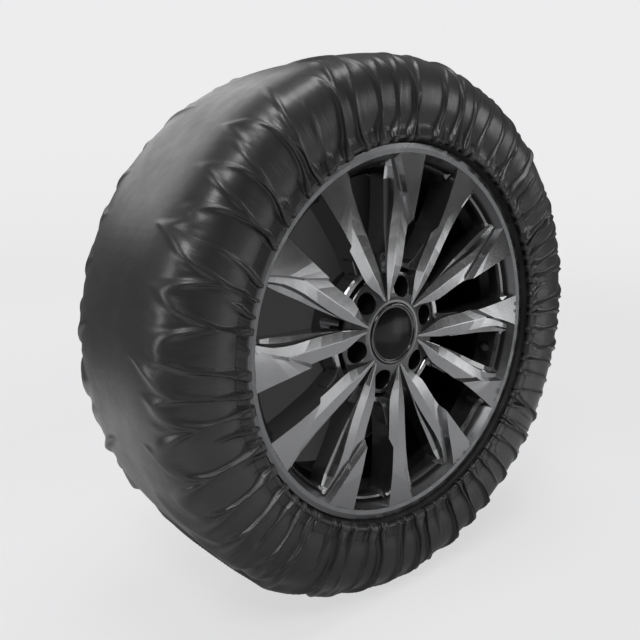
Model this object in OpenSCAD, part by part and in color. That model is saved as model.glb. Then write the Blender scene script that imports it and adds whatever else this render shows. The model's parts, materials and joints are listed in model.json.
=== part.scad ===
// A textile snow sock pulled over a 265/50 R20 tyre on a six-stud alloy wheel.
//
// Origin: the wheel's centre. The axle lies along Y and the styled face looks
// towards -Y. Every module is drawn with the axle along its own z, styled face
// towards +z, and on_axle() turns it into place.

/* [Tyre] */
// Outside radius of the inflated tyre
tyre_r = 386.5; // [383:0.5:390]
// Width of the tyre at its widest
tyre_w = 274; // [270:1:278]
// Radius at which the tyre is widest
widest_r = 325; // [323:1:327]
// Thickness of the tyre at the crown, tread included
crown_t = 17.5; // [16:0.5:19]
// Thickness of the sidewall at its widest point
side_t = 9; // [8:0.5:10]
// Depth of the grooves round the tread
groove_d = 7.5; // [6:0.5:8.5]
// Width of the grooves round the tread
groove_w = 9; // [7:0.5:10]

/* [Rim] */
// Distance between the rim flanges, 8.5 inches
rim_w = 215.9; // [215.9]
// Radius of the bead seats, half of 20 inches
seat_r = 254; // [254]
// Height of a rim flange above its bead seat
flange_h = 17.5; // [17.5]
// Thickness of a rim flange along the axle
flange_t = 12.7; // [11:0.1:13]
// Radius of the rim's well on the tyre side
well_r = 237; // [236:0.5:238]
// Wall of the barrel
wall_t = 7; // [6.5:0.5:7.5]

/* [Hub] */
// Mounting face, from the wheel's centre towards the styled face
offset_z = 25; // [20:1:30]
// Circle through the six stud holes
stud_pcd = 139.7; // [139.7]
// Diameter of a stud hole
stud_hole_d = 14; // [13:0.5:15]
// Diameter of the pocket that a wheel nut sits in
pocket_d = 31; // [29:0.5:32]
// Diameter of the bore that centres the wheel on the hub
pilot_d = 106.1; // [106.1]
// Length of that bore
pilot_len = 15; // [12:1:18]
// Diameter of the hole that the centre cap snaps into
cap_hole_d = 82; // [78:1:84]
// Diameter of the centre cap's face
cap_d = 90.6; // [88:0.2:92]

/* [Spokes] */
// Pairs of spokes, one pair between each two studs
pairs = 6; // [6]
// Front of the hub at the spokes' roots
hub_front_z = 92; // [90:1:94]
// Height of the raised blade along a spoke's outer half
blade_h = 10; // [8:0.5:12]

/* [Snow sock] */
// Cloth of the sock
cloth_t = 1.6; // [1.2:0.1:2]
// Height that the gathered pleats add at the hem
pleat_h = 4; // [3:0.5:5]
// Gap between the sock and the tyre
sock_gap = 0.5; // [0.4:0.1:0.8]
// Radius of a hem's gathered roll
hem_r = 5.5; // [5:0.1:5.8]
// Radius of the elastic cord in a hem
elastic_r = 2.5; // [2:0.1:3]
// Radius of the wheel at which a hem lies
hem_at_r = 278.2; // [278:0.1:279]

/* [Hidden] */
$fn = 96;
step = 0.01;            // overshoot of a cutting solid
period = 360 / pairs;   // angle from one stud to the next
first_stud = 15;        // angle of the first stud, from +X towards +Z
half_w = tyre_w / 2;
flange_z = rim_w / 2;
front_z = flange_z + flange_t;
flange_r = seat_r + flange_h;
plate_r = 96;           // radius of the plate that bolts to the car
seat_z = offset_z + 20; // front of that plate, where the nuts sit
pocket_floor_z = 56;    // front of the hub between the bosses

// ---- shared geometry ----

module on_axle() {
    rotate([90, 0, 0]) children();
}

// Inboard twin of a piece drawn on the styled side
module inboard() {
    mirror([0, 0, 1]) children();
}

module turned(points) {
    rotate_extrude() polygon(points);
}

function reversed(list) = [for (i = [len(list) - 1:-1:0]) list[i]];
function flipped(points) = [for (p = points) [p[0], -p[1]]];
function polar(r, a) = [r * cos(a), r * sin(a)];

// ---- the tyre's section: matching points on its outside and its inside ----
// Points are [radius, z]. They run from the middle of the crown to the bead's toe.

crown_n = 18;           // steps from the crown's middle to the widest point
lower_n = 8;            // steps from the widest point to the rim's flange
shoulder_i = 12;        // where the tread meets the sidewall
belt_i = 8;             // where the belts end
bead_i = crown_n + lower_n;  // last step above the flange

function crown_point(r, w, i) =
    let (a = 90 * i / crown_n)
    [widest_r + (r - widest_r) * pow(cos(a), 2 / 3), w * pow(sin(a), 0.476)];

function lower_outside(s) = [widest_r - 49 * s, half_w - 13 * s * s];
function lower_inside(s) = [widest_r - 53 * s, half_w - side_t - 23 * pow(s, 1.5)];

outside = concat(
    [for (i = [0:crown_n]) crown_point(tyre_r, half_w, i)],
    [for (i = [1:lower_n]) lower_outside(i / lower_n)],
    [[flange_r, front_z - 3], [flange_r, flange_z + 4], [flange_r - 2.5, flange_z],
     [seat_r + 2, flange_z], [seat_r, flange_z - 2]]);

inside = concat(
    [for (i = [0:crown_n]) crown_point(tyre_r - crown_t, half_w - side_t, i)],
    [for (i = [1:lower_n]) lower_inside(i / lower_n)],
    [[seat_r + 16.5, flange_z - 4.5], [seat_r + 15, flange_z - 6.5],
     [seat_r + 12, flange_z - 10], [seat_r + 3, flange_z - 17], [seat_r, flange_z - 19]]);

last_i = len(outside) - 1;

// The point at depth t from the inside of the tyre, at step i
function layer(i, t) =
    let (a = inside[i], b = outside[i])
    a + (b - a) * t / norm(b - a);

// The point that stands t proud of the outside of the tyre, at step i
function proud(i, t) =
    let (a = inside[i], b = outside[i])
    b + (b - a) * t / norm(b - a);

// Depth of each layer's outer face
liner_t = 1.5;
carcass_t = 3;
inner_belt_t = 4.2;
outer_belt_t = 5.4;
cap_ply_t = 6.2;
wire_t = 9;             // outer face of the bead's wire
wire_i = last_i - 2;    // step at the top of the bead's wire
filler_i = bead_i - 4;  // step at the top of the bead's filler

// Depth of the bead filler's outer face, which tapers to nothing at its top
function filler_t(i) = carcass_t + (wire_t - carcass_t) * (i - filler_i) / (wire_i - filler_i);

// A layer that crosses the crown from step n on one side to step n on the other
module crown_layer(n, t_in, t_out) {
    upper = [for (i = [0:n]) layer(i, t_out)];
    lower = [for (i = [0:n]) layer(i, t_in)];
    turned(concat(flipped(reversed(upper)), [for (i = [1:n]) upper[i]],
                  reversed(lower), flipped([for (i = [1:n]) lower[i]])));
}

module cap_ply() {
    color("dimgray") on_axle() crown_layer(belt_i, outer_belt_t, cap_ply_t);
}

module outer_belt() {
    color("silver") on_axle() crown_layer(belt_i, inner_belt_t, outer_belt_t);
}

module inner_belt() {
    color("silver") on_axle() crown_layer(belt_i, carcass_t, inner_belt_t);
}

module carcass_ply() {
    color("wheat") on_axle() crown_layer(last_i, liner_t, carcass_t);
}

module inner_liner() {
    color("black") on_axle() crown_layer(last_i, 0, liner_t);
}

module tyre_tread() {
    under = concat([for (i = [0:belt_i]) layer(i, cap_ply_t)],
                   [for (i = [belt_i:shoulder_i]) layer(i, carcass_t)]);
    top = [for (i = [0:shoulder_i]) outside[i]];
    below = len(under) - 1;
    color("dimgray") on_axle() difference() {
        turned(concat(flipped(reversed(top)), [for (i = [1:shoulder_i]) top[i]],
                      reversed(under), flipped([for (i = [1:below]) under[i]])));
        for (z = [-62, -21, 21, 62])
            translate([0, 0, z]) groove();
    }
}

module groove() {
    floor_r = tyre_r - 1 - groove_d;
    rotate_extrude() translate([floor_r, -groove_w / 2]) square([groove_d + 5, groove_w]);
}

// Sidewall rubber and the chafer under the bead, outside the filler and the wire
module sidewall() {
    outer_face = [for (i = [shoulder_i:last_i]) outside[i]];
    inner_face = concat(
        [for (i = [shoulder_i:filler_i]) layer(i, carcass_t)],
        [for (i = [filler_i + 1:wire_i]) layer(i, filler_t(i))],
        [layer(wire_i + 1, wire_t), layer(wire_i + 1, carcass_t), layer(last_i, carcass_t)]);
    turned(concat(outer_face, reversed(inner_face)));
}

module outer_sidewall() {
    color("dimgray") on_axle() sidewall();
}

module inner_sidewall() {
    color("dimgray") on_axle() inboard() sidewall();
}

module bead_filler() {
    turned(concat([for (i = [filler_i:wire_i]) layer(i, filler_t(i))],
                  [for (i = [wire_i:-1:filler_i + 1]) layer(i, carcass_t)]));
}

module outer_bead_filler() {
    color("gray") on_axle() bead_filler();
}

module inner_bead_filler() {
    color("gray") on_axle() inboard() bead_filler();
}

module bead_wire() {
    turned([layer(wire_i, carcass_t), layer(wire_i, wire_t),
            layer(wire_i + 1, wire_t), layer(wire_i + 1, carcass_t)]);
}

module outer_bead_wire() {
    color("peru") on_axle() bead_wire();
}

module inner_bead_wire() {
    color("peru") on_axle() inboard() bead_wire();
}

// ---- the rim ----

// The styled flange, from the window edge round to the bead seat
flange_line = [
    [seat_r + 2, front_z - 1.5], [seat_r + 8, front_z], [flange_r - 3, front_z],
    [flange_r, front_z - 3], [flange_r, flange_z + 4], [flange_r - 2.5, flange_z],
    [seat_r + 2, flange_z], [seat_r, flange_z - 2]];

hump_line = [[seat_r, 88], [seat_r + 1.2, 84], [seat_r, 80]];

slope_gap = seat_r - 2 - 78;          // radius less z along the well's 45 degree front slope
slope_in_gap = slope_gap - wall_t * sqrt(2);
throat_r = seat_r - 9;                // bore of the rim behind the styled lip
well_in_r = well_r - wall_t;
back_in_r = 239.5;                    // bore of the rim behind the well

barrel_line = [
    [seat_r - 2, 78], [well_r, well_r - slope_gap], [well_r, 22],
    [back_in_r + wall_t + 0.5, 4], [back_in_r + wall_t + 0.5, -60], [seat_r - 2, -74]];

bore_line = [
    [throat_r + 2, -front_z + 4], [throat_r + 1, -flange_z], [throat_r, -84],
    [back_in_r, -62], [back_in_r, 2], [well_in_r, 20],
    [well_in_r, well_in_r - slope_in_gap], [throat_r, throat_r - slope_in_gap],
    [throat_r, front_z - 17.6]];

module rim_barrel() {
    back = flipped(reversed(concat([for (i = [1:len(flange_line) - 1]) flange_line[i]],
                                   hump_line)));
    color("dimgray") on_axle() difference() {
        turned(concat(flange_line, hump_line, barrel_line, back,
                      [[throat_r + 6, -front_z + 0.5]], bore_line));
        at_valve() {
            translate([0, 0, -wall_t - 20]) cylinder(r = valve_hole_r, h = 40);
            translate([0, 0, -wall_t - 20]) cylinder(r = spot_face_r, h = 20 + spot_face_d);
        }
    }
}

// Everything inside the rim's bore, which limits the spokes
module inside_rim() {
    turned([[0, 0], [well_in_r, 0], [well_in_r, well_in_r - slope_in_gap],
            [throat_r, throat_r - slope_in_gap], [throat_r, front_z - 17.6],
            [seat_r + 2, front_z - 1.5], [0, front_z - 1.5]]);
}

// ---- spokes ----
// A pair is a V with its point at the hub, between two studs. Angles run from the
// pair's own middle line; the second spoke of a pair mirrors the first.

root_r = 54;
tip_r = seat_r + 2;

spoke_outline = [
    polar(root_r, 1), polar(70, 2.5), polar(102, 4), polar(140, 5.5), polar(186, 7),
    polar(tip_r + 4, 8), polar(tip_r + 4, 22), polar(186, 21), polar(140, 20.5),
    polar(100, 21), polar(80, 17), polar(64, 10)];

// The blade starts with a slanted step at the stud side of the spoke
blade_outline = [
    polar(157, 21.5), polar(197, 14.5), polar(tip_r + 4, 9.5), polar(tip_r + 4, 22),
    polar(186, 21)];

module spoke_face_limit(rise) {
    turned([[0, 30], [root_r, 30], [100, 46], [150, 60], [200, 66], [tip_r + 5, 70],
            [tip_r + 5, front_z - 1.5], [tip_r, front_z - 11.5 + rise], [200, 106 + rise],
            [150, 100 + rise], [100, 96 + rise], [root_r, hub_front_z + rise],
            [0, hub_front_z + rise]]);
}

module one_spoke() {
    intersection() {
        linear_extrude(front_z) polygon(spoke_outline);
        spoke_face_limit(0);
    }
    intersection() {
        translate([0, 0, 70]) linear_extrude(front_z - 70) polygon(blade_outline);
        spoke_face_limit(blade_h);
    }
}

// The web that closes the V's point, set back from the spokes' faces
module v_web() {
    web = [polar(root_r, -6), polar(118, -6), polar(118, 6), polar(root_r, 6)];
    translate([0, 0, 50]) linear_extrude(22) polygon(web);
}

module spoke_v() {
    one_spoke();
    mirror([0, 1, 0]) one_spoke();
    v_web();
}

// A pair holds its sixth of the hub's front, from one stud's middle to the next
module spoke_pair(k) {
    color("slategray") on_axle() rotate(first_stud + (k - 1.5) * period) difference() {
        union() {
            intersection() {
                spoke_v();
                inside_rim();
            }
            intersection() {
                hub_front();
                linear_extrude(2 * front_z)
                    polygon([[0, 0], polar(3 * plate_r, -period / 2),
                             polar(3 * plate_r, period / 2)]);
            }
        }
        cylinder(r = plate_r, h = seat_z);
        for (side = [-0.5, 0.5])
            rotate(side * period) translate([stud_pcd / 2, 0, 0]) stud_cut();
        hub_bore();
    }
}

// ---- hub ----

module hub_front() {
    translate([0, 0, seat_z]) cylinder(r = root_r + 6, h = hub_front_z - seat_z);
    translate([0, 0, seat_z]) cylinder(r = plate_r, h = pocket_floor_z - seat_z);
    for (side = [-0.5, 0.5])
        rotate(side * period) stud_boss();
}

// Boss round a nut pocket, with the bar that bridges the two spokes beside it
module stud_boss() {
    translate([stud_pcd / 2, 0, seat_z]) cylinder(r = pocket_d / 2 + 5, h = 82 - seat_z);
    bar = [polar(plate_r - 7, -11), polar(plate_r, -10), polar(plate_r, 10),
           polar(plate_r - 7, 11)];
    translate([0, 0, 50]) linear_extrude(30) polygon(bar);
}

// The plate that bolts to the car, with the nuts' conical seats
module hub_disc() {
    color("slategray") on_axle() difference() {
        translate([0, 0, offset_z]) cylinder(r = plate_r, h = seat_z - offset_z);
        for (k = [0:pairs - 1])
            rotate(first_stud + k * period) translate([stud_pcd / 2, 0, 0]) stud_cut();
        hub_bore();
    }
}

module stud_cut() {
    cone_h = 5;
    translate([0, 0, offset_z - 1]) cylinder(d = stud_hole_d, h = 30);
    translate([0, 0, seat_z]) cylinder(d = pocket_d, h = 80);
    translate([0, 0, seat_z - cone_h + step]) cylinder(d1 = stud_hole_d, d2 = 24, h = cone_h);
}

cap_seat_z = hub_front_z - 3;
cap_gap = 0.2;          // between the seat and the cap, which slides
module hub_bore() {
    translate([0, 0, offset_z - 1]) cylinder(d = pilot_d, h = pilot_len + 1);
    translate([0, 0, offset_z]) cylinder(d = cap_hole_d, h = 80);
    translate([0, 0, offset_z + pilot_len]) cylinder(d = pilot_d - 6, h = 30);
    translate([0, 0, cap_seat_z]) cylinder(d = cap_d + 0.8, h = 20);
}

// ---- centre cap ----

finger_t = 4;
finger_len = 15;
finger_r = cap_hole_d / 2 - 0.4;

module centre_cap() {
    rim_h = 1.5;
    crown_h = 5;
    color("black") on_axle() translate([0, 0, cap_seat_z + cap_gap]) {
        turned([[0, 0], [cap_d / 2, 0], [cap_d / 2, 3], [cap_d / 2 - rim_h, 3 + rim_h],
                [cap_d / 2 - 3, 3 + rim_h], [cap_d / 2 - 5, 3.5], [24, crown_h],
                [0, crown_h + 0.5]]);
        difference() {
            translate([0, 0, -finger_len])
                turned([[finger_r - finger_t, 0], [finger_r, 0], [finger_r, finger_len],
                        [finger_r - finger_t, finger_len]]);
            for (k = [0:3])
                rotate(k * 45) translate([-cap_d, -3, -finger_len - 1])
                    cube([2 * cap_d, 6, finger_len - 2]);
        }
    }
}

module cap_spring_ring() {
    wire_r = 1.2;
    color("silver") on_axle() translate([0, 0, cap_seat_z - 10])
        rotate_extrude() translate([finger_r - finger_t - wire_r, 0]) circle(wire_r, $fn = 24);
}

// ---- valve ----
// It leaves through the well's front slope, at 45 degrees to the axle. Its own z runs
// out along the stem, with 0 at the rim's bore face.

valve_angle = first_stud - period / 2;
valve_hole_r = 5.7;
spot_face_r = 10.5;
spot_face_d = 3;
valve_at_r = (well_in_r + throat_r) / 2;

module at_valve() {
    z = valve_at_r - slope_in_gap;
    rotate(valve_angle) translate([valve_at_r, 0, z]) rotate([0, -45, 0]) children();
}

module valve_body() {
    foot = -wall_t;
    neck = -wall_t + spot_face_d;
    color("black") on_axle() at_valve()
        turned([[3, foot], [9.5, foot], [9.5, neck], [valve_hole_r, neck], [valve_hole_r, 0],
                [7.2, 0.6], [7.2, 4], [6.2, 9], [5.4, 20], [3, 20]]);
}

module valve_stem() {
    color("goldenrod") on_axle() at_valve() difference() {
        union() {
            translate([0, 0, -wall_t]) cylinder(r = 3, h = wall_t + 20);
            translate([0, 0, 20]) cylinder(r = 3.95, h = 12);
        }
        translate([0, 0, -wall_t - 1]) cylinder(r = 1.2, h = 60);
        translate([0, 0, 13]) cylinder(r = 2.3, h = 30);
    }
}

module valve_core() {
    color("silver") on_axle() at_valve()
        turned([[1, 18], [2.3, 18], [2.3, 31.5], [1, 31.5]]);
}

module valve_pin() {
    color("gold") on_axle() at_valve()
        turned([[0, 15], [1.8, 15], [1.8, 16.8], [0.9, 17.4], [0.9, 32.6], [1.5, 32.6],
                [1.5, 33.2], [0, 33.2]]);
}

module valve_cap() {
    color("black") on_axle() at_valve() {
        turned([[4.3, 25], [5.2, 25], [5.4, 25.4], [5.4, 36], [4.8, 36.6], [0, 36.6],
                [0, 35], [4.3, 35]]);
        for (k = [0:17])
            rotate(k * 20) translate([5.35, -0.35, 26.5]) cube([0.45, 0.7, 8.5]);
    }
}

module valve_cap_seal() {
    color("red") on_axle() at_valve()
        turned([[2.4, 32.3], [4, 32.3], [4, 34.7], [2.4, 34.7]]);
}

// ---- snow sock ----

cover_i = 10;           // where the cover's tread meets its sides
hem_i = bead_i - 1;     // where the cover runs into its hem
hem_z = half_w - 4.5;

// Height of the cover's outer face over the tyre: pleats grow towards the hem
function cover_h(i) =
    sock_gap + cloth_t + pleat_h * pow(max(0, i - cover_i) / (hem_i - cover_i), 2);

module cover_tread() {
    outer_face = [for (i = [0:cover_i]) proud(i, cover_h(i))];
    inner_face = [for (i = [0:cover_i]) proud(i, sock_gap)];
    color("#2b2b2d") on_axle()
        turned(concat(flipped(reversed(outer_face)), [for (i = [1:cover_i]) outer_face[i]],
                      reversed(inner_face), flipped([for (i = [1:cover_i]) inner_face[i]])));
}

module cover_side() {
    rotate_extrude() difference() {
        polygon(concat([for (i = [cover_i:hem_i]) proud(i, cover_h(i))],
                       [for (i = [hem_i:-1:cover_i]) proud(i, sock_gap)]));
        translate([hem_at_r, hem_z]) circle(hem_r);
    }
}

module cover_outer_side() {
    color("#2b2b2d") on_axle() cover_side();
}

module cover_inner_side() {
    color("#2b2b2d") on_axle() inboard() cover_side();
}

module hem() {
    rotate_extrude() translate([hem_at_r, hem_z]) difference() {
        circle(hem_r);
        circle(elastic_r);
    }
}

module elastic() {
    rotate_extrude() translate([hem_at_r, hem_z]) circle(elastic_r);
}

module outer_hem() {
    color("#242426") on_axle() hem();
}

module inner_hem() {
    color("#242426") on_axle() inboard() hem();
}

module outer_elastic() {
    color("ivory") on_axle() elastic();
}

module inner_elastic() {
    color("ivory") on_axle() inboard() elastic();
}

// The lapped seam that closes the cover into a loop
module closing_seam() {
    lap_t = 0.8;
    lap_angle = 2;
    seam_angle = -35;
    end_i = hem_i - 2;
    top = [for (i = [0:end_i]) proud(i, cover_h(i) + lap_t)];
    bottom = [for (i = [0:end_i]) proud(i, cover_h(i))];
    color("#202022") on_axle() rotate(seam_angle) rotate_extrude(angle = lap_angle)
        polygon(concat(flipped(reversed(top)), [for (i = [1:end_i]) top[i]],
                       reversed(bottom), flipped([for (i = [1:end_i]) bottom[i]])));
}

// ---- nodes ----

rim_barrel();
hub_disc();
spoke_pair(1);  // spoke_pair_1
spoke_pair(2);  // spoke_pair_2
spoke_pair(3);  // spoke_pair_3
spoke_pair(4);  // spoke_pair_4
spoke_pair(5);  // spoke_pair_5
spoke_pair(6);  // spoke_pair_6
centre_cap();
cap_spring_ring();
valve_body();
valve_stem();
valve_core();
valve_pin();
valve_cap();
valve_cap_seal();
tyre_tread();
cap_ply();
outer_belt();
inner_belt();
carcass_ply();
inner_liner();
outer_sidewall();
inner_sidewall();
outer_bead_wire();
inner_bead_wire();
outer_bead_filler();
inner_bead_filler();
cover_tread();
cover_outer_side();
cover_inner_side();
closing_seam();
outer_hem();
inner_hem();
outer_elastic();
inner_elastic();
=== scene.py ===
"""Looks of a textile snow sock on a wheel: a cloth cover that is simulated over the tyre, its
gathered hems, seam and stitches, and a detailed alloy wheel inside it. Lengths are in metres,
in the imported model's frame: Y along the axle, the styled face towards -Y, +Z up."""

import json
import math

import bmesh
import bpy
import numpy as np
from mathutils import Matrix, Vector


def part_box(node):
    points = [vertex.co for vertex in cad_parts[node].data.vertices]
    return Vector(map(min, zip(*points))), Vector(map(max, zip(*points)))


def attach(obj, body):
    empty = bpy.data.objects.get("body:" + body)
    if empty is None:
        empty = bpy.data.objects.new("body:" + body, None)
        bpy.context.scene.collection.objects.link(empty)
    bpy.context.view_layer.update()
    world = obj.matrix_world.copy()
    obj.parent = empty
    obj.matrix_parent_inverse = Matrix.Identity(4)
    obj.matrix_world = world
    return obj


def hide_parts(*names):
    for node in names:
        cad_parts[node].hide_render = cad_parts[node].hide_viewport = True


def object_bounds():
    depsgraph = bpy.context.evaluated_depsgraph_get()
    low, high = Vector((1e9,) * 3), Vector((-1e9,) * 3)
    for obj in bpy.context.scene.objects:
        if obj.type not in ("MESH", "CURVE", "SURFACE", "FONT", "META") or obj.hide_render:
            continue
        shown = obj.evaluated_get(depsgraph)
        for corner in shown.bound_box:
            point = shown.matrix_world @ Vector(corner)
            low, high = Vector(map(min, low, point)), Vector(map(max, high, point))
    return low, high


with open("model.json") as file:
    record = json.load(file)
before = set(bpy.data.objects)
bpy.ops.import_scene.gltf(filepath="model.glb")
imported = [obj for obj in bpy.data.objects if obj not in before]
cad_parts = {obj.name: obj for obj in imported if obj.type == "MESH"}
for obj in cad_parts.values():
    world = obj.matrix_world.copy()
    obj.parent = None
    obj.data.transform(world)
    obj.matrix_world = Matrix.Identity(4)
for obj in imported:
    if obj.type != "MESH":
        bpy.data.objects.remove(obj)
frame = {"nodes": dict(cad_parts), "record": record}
CAD_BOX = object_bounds()
rng = np.random.default_rng(11)

# -------- sizes from the frame

COVER_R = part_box("cover_tread")[1].z  # radius over the cover's tread band
TYRE_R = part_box("tyre_tread")[1].z
TYRE_HALF_W = -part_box("outer_sidewall")[0].y
FLOOR_Z = CAD_BOX[0].z
_low, _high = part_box("outer_elastic")
ELASTIC_R = (_high.y - _low.y) / 2  # of the cord itself
HEM_RING_R = _high.x - ELASTIC_R  # of the ring that the cord forms
HEM_Y = -(_high.y + _low.y) / 2  # from the wheel's middle to that ring
CAP_BACK_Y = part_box("centre_cap")[1].y  # at the ends of the cap's fingers

WIDEST_R = 0.325  # where the tyre's section is widest, as in the CAD model
CLOTH_GAP = 0.0012  # middle of the cloth above the rubber


# -------- object and node helpers

def new_object(name, data):
    made = bpy.data.objects.new(name, data)
    bpy.context.scene.collection.objects.link(made)
    return made


def aim(obj, place, way):
    """Stands a camera or a light at a place, looking the given way."""
    obj.location = place
    obj.rotation_mode = "QUATERNION"
    obj.rotation_quaternion = way.to_track_quat("-Z", "Y")


def mesh_object(name, verts, faces, *looks, smooth=True):
    """A mesh object from points, faces and materials."""
    mesh = bpy.data.meshes.new(name)
    mesh.from_pydata([tuple(map(float, v)) for v in verts], [],
                     [tuple(map(int, f)) for f in faces])
    mesh.update()
    if smooth:
        mesh.polygons.foreach_set("use_smooth", [True] * len(mesh.polygons))
    for look in looks:
        mesh.materials.append(look)
    return new_object(name, mesh)


def tube_faces(base, rings, sides, ends=True):
    """Faces of a tube whose points are numbered round each of its rings, from base on."""
    faces = []
    for a in range(base, base + (rings - 1) * sides, sides):
        for j in range(sides):
            n = (j + 1) % sides
            faces.append((a + j, a + n, a + sides + n, a + sides + j))
    if ends:
        last = base + (rings - 1) * sides
        faces.append(tuple(range(base + sides - 1, base - 1, -1)))
        faces.append(tuple(range(last, last + sides)))
    return faces


def face_outwards(obj):
    """Makes a closed mesh's normals agree and point out."""
    bm = bmesh.new()
    bm.from_mesh(obj.data)
    bmesh.ops.recalc_face_normals(bm, faces=bm.faces)
    bm.to_mesh(obj.data)
    bm.free()


def node(tree, kind, settings=None, **values):
    """A node with its settings and inputs. An input's value may be a socket; its name has _ for
    a space, or is i and its number."""
    made = tree.nodes.new(kind)
    for key, value in (settings or {}).items():
        setattr(made, key, value)
    for key, value in values.items():
        by_number = key[0] == "i" and key[1:].isdigit()
        socket = made.inputs[int(key[1:]) if by_number else key.replace("_", " ")]
        if isinstance(value, bpy.types.NodeSocket):
            tree.links.new(value, socket)
        else:
            socket.default_value = value
    return made


def map_range(tree, value, low, high, to_low, to_high):
    made = node(tree, "ShaderNodeMapRange", Value=value, From_Min=low, From_Max=high,
                To_Min=to_low, To_Max=to_high)
    return made.outputs[0]


def calculate(tree, operation, *values):
    inputs = {f"i{n}": value for n, value in enumerate(values)}
    return node(tree, "ShaderNodeMath", {"operation": operation}, **inputs).outputs[0]


def length_of(tree, vector):
    return node(tree, "ShaderNodeVectorMath", {"operation": "LENGTH"}, i0=vector).outputs["Value"]


def empty_tree(owner):
    """The node tree of a new material or world, without its first nodes."""
    owner.use_nodes = True
    owner.node_tree.nodes.clear()
    return owner.node_tree


def stage_tree(obj):
    """The empty node tree of a new material on a piece of the stage."""
    material = bpy.data.materials.new(obj.name)
    obj.data.materials.append(material)
    return empty_tree(material)


# -------- camera, light and stage

# Where the camera stands, seen from the wheel's centre; azimuth 0 is towards -Y.
CAMERA_AZIMUTH, CAMERA_ELEVATION = math.radians(-40.67), math.radians(12.37)
CAMERA_DISTANCE = 2.753 * COVER_R
LENS, SENSOR = 38.6, 36  # millimetres
CAMERA_SHIFT = -0.051, 0.005
PALE = (0.83, 0.83, 0.84, 1)

# Each softbox's place, the point it faces, its width and height, and its watts.
SOFTBOXES = {
    "overhead": ((0.0, -0.2, 2.1), (0, 0, 0.1), (1.4, 0.8), 15),
    "key": ((-1.2, -1.0, 1.6), (0, 0, 0.1), (0.8, 0.6), 13),
    "back": ((-0.2, 2.4, 1.5), (0, 0, 0.1), (2.8, 1.5), 15),
    "right": ((1.7, -1.45, 0.55), (0, 0, 0.1), (0.9, 0.4), 4.2),
    "left": ((-2.3, 0.3, 0.5), (0, 0, 0), (0.6, 1.4), 9),
    "low_right": ((0.72, -1.12, -0.27), (-0.1, -0.1, -0.05), (0.6, 0.2), 0.5),
    "low_glint": ((0.95, -0.89, -0.21), (0.1, -0.1, 0.1), (0.3, 0.16), 0.26),
}

FLOOR_FLAT_R, FLOOR_CURVE_R, WALL_H = 3.0, 1.5, 3.5
FLOOR_DROP = 0.0002  # below the tyre
CARD_R, CARD_Y = 0.2392, 0.055


def add_camera():
    data = bpy.data.cameras.new("camera")
    data.lens = LENS
    data.sensor_width = SENSOR
    data.shift_x, data.shift_y = CAMERA_SHIFT
    camera = new_object("camera", data)
    flat = math.cos(CAMERA_ELEVATION)
    back = Vector((math.sin(CAMERA_AZIMUTH) * flat, -math.cos(CAMERA_AZIMUTH) * flat,
                   math.sin(CAMERA_ELEVATION)))
    aim(camera, back * CAMERA_DISTANCE, -back)
    bpy.context.scene.camera = camera


def add_lights():
    for name, (place, target, size, watts) in SOFTBOXES.items():
        data = bpy.data.lights.new(name, "AREA")
        data.shape = "RECTANGLE"
        data.size, data.size_y = size
        data.energy = watts
        aim(new_object(name, data), place, Vector(target) - Vector(place))


def add_world():
    """Pale to the camera; dimmer, and darker towards the ground, for the light it gives."""
    world = bpy.data.worlds.new("studio")
    bpy.context.scene.world = world
    tree = empty_tree(world)
    place = node(tree, "ShaderNodeTexCoord").outputs["Generated"]
    height = node(tree, "ShaderNodeSeparateXYZ", i0=place).outputs["Z"]
    dim = node(tree, "ShaderNodeBackground",
               Strength=map_range(tree, height, -0.6, 0.9, 0.015, 0.16))
    bright = node(tree, "ShaderNodeBackground", Color=PALE)
    seen = node(tree, "ShaderNodeLightPath").outputs["Is Camera Ray"]
    mix = node(tree, "ShaderNodeMixShader", i0=seen, i1=dim.outputs[0], i2=bright.outputs[0])
    node(tree, "ShaderNodeOutputWorld", i0=mix.outputs[0])


def add_stage():
    """A wide pale floor that curves up into a wall all round."""
    profile = [(r, 0.0) for r in (0.0, 0.5, 1.0, 2.0, FLOOR_FLAT_R)]
    profile += [(FLOOR_FLAT_R + FLOOR_CURVE_R * math.sin(a), FLOOR_CURVE_R * (1 - math.cos(a)))
                for a in np.linspace(0, math.pi / 2, 10)[1:]]
    profile.append((FLOOR_FLAT_R + FLOOR_CURVE_R, WALL_H))
    sides = 72
    turns = [2 * math.pi * k / sides for k in range(sides)]
    verts = [(r * math.cos(a), r * math.sin(a), z + FLOOR_Z - FLOOR_DROP)
             for r, z in profile for a in turns]
    floor = mesh_object("studio_floor", verts, tube_faces(0, len(profile), sides, ends=False))
    floor.visible_diffuse = False
    tree = stage_tree(floor)
    reach = length_of(tree, node(tree, "ShaderNodeTexCoord").outputs["Object"])
    glow = node(tree, "ShaderNodeEmission", Color=PALE,
                Strength=map_range(tree, reach, 1.0, 4.6, 0.75, 0.97))
    matt = node(tree, "ShaderNodeBsdfDiffuse", Color=(0.3, 0.3, 0.304, 1))
    both = node(tree, "ShaderNodeAddShader", i0=glow.outputs[0], i1=matt.outputs[0])
    # In reflections the floor is dimmed far away, and right beside the tyre.
    faint = calculate(tree, "MAXIMUM", map_range(tree, reach, 0.7, 1.9, 0.0, 0.94),
                      map_range(tree, reach, 0.5, 0.95, 0.7, 0.0))
    mirrored = node(tree, "ShaderNodeLightPath").outputs["Is Glossy Ray"]
    dim = node(tree, "ShaderNodeEmission", Strength=0.05)
    shown = node(tree, "ShaderNodeMixShader", i0=calculate(tree, "MULTIPLY", faint, mirrored),
                 i1=both.outputs[0], i2=dim.outputs[0])
    node(tree, "ShaderNodeOutputMaterial", i0=shown.outputs[0])


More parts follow.
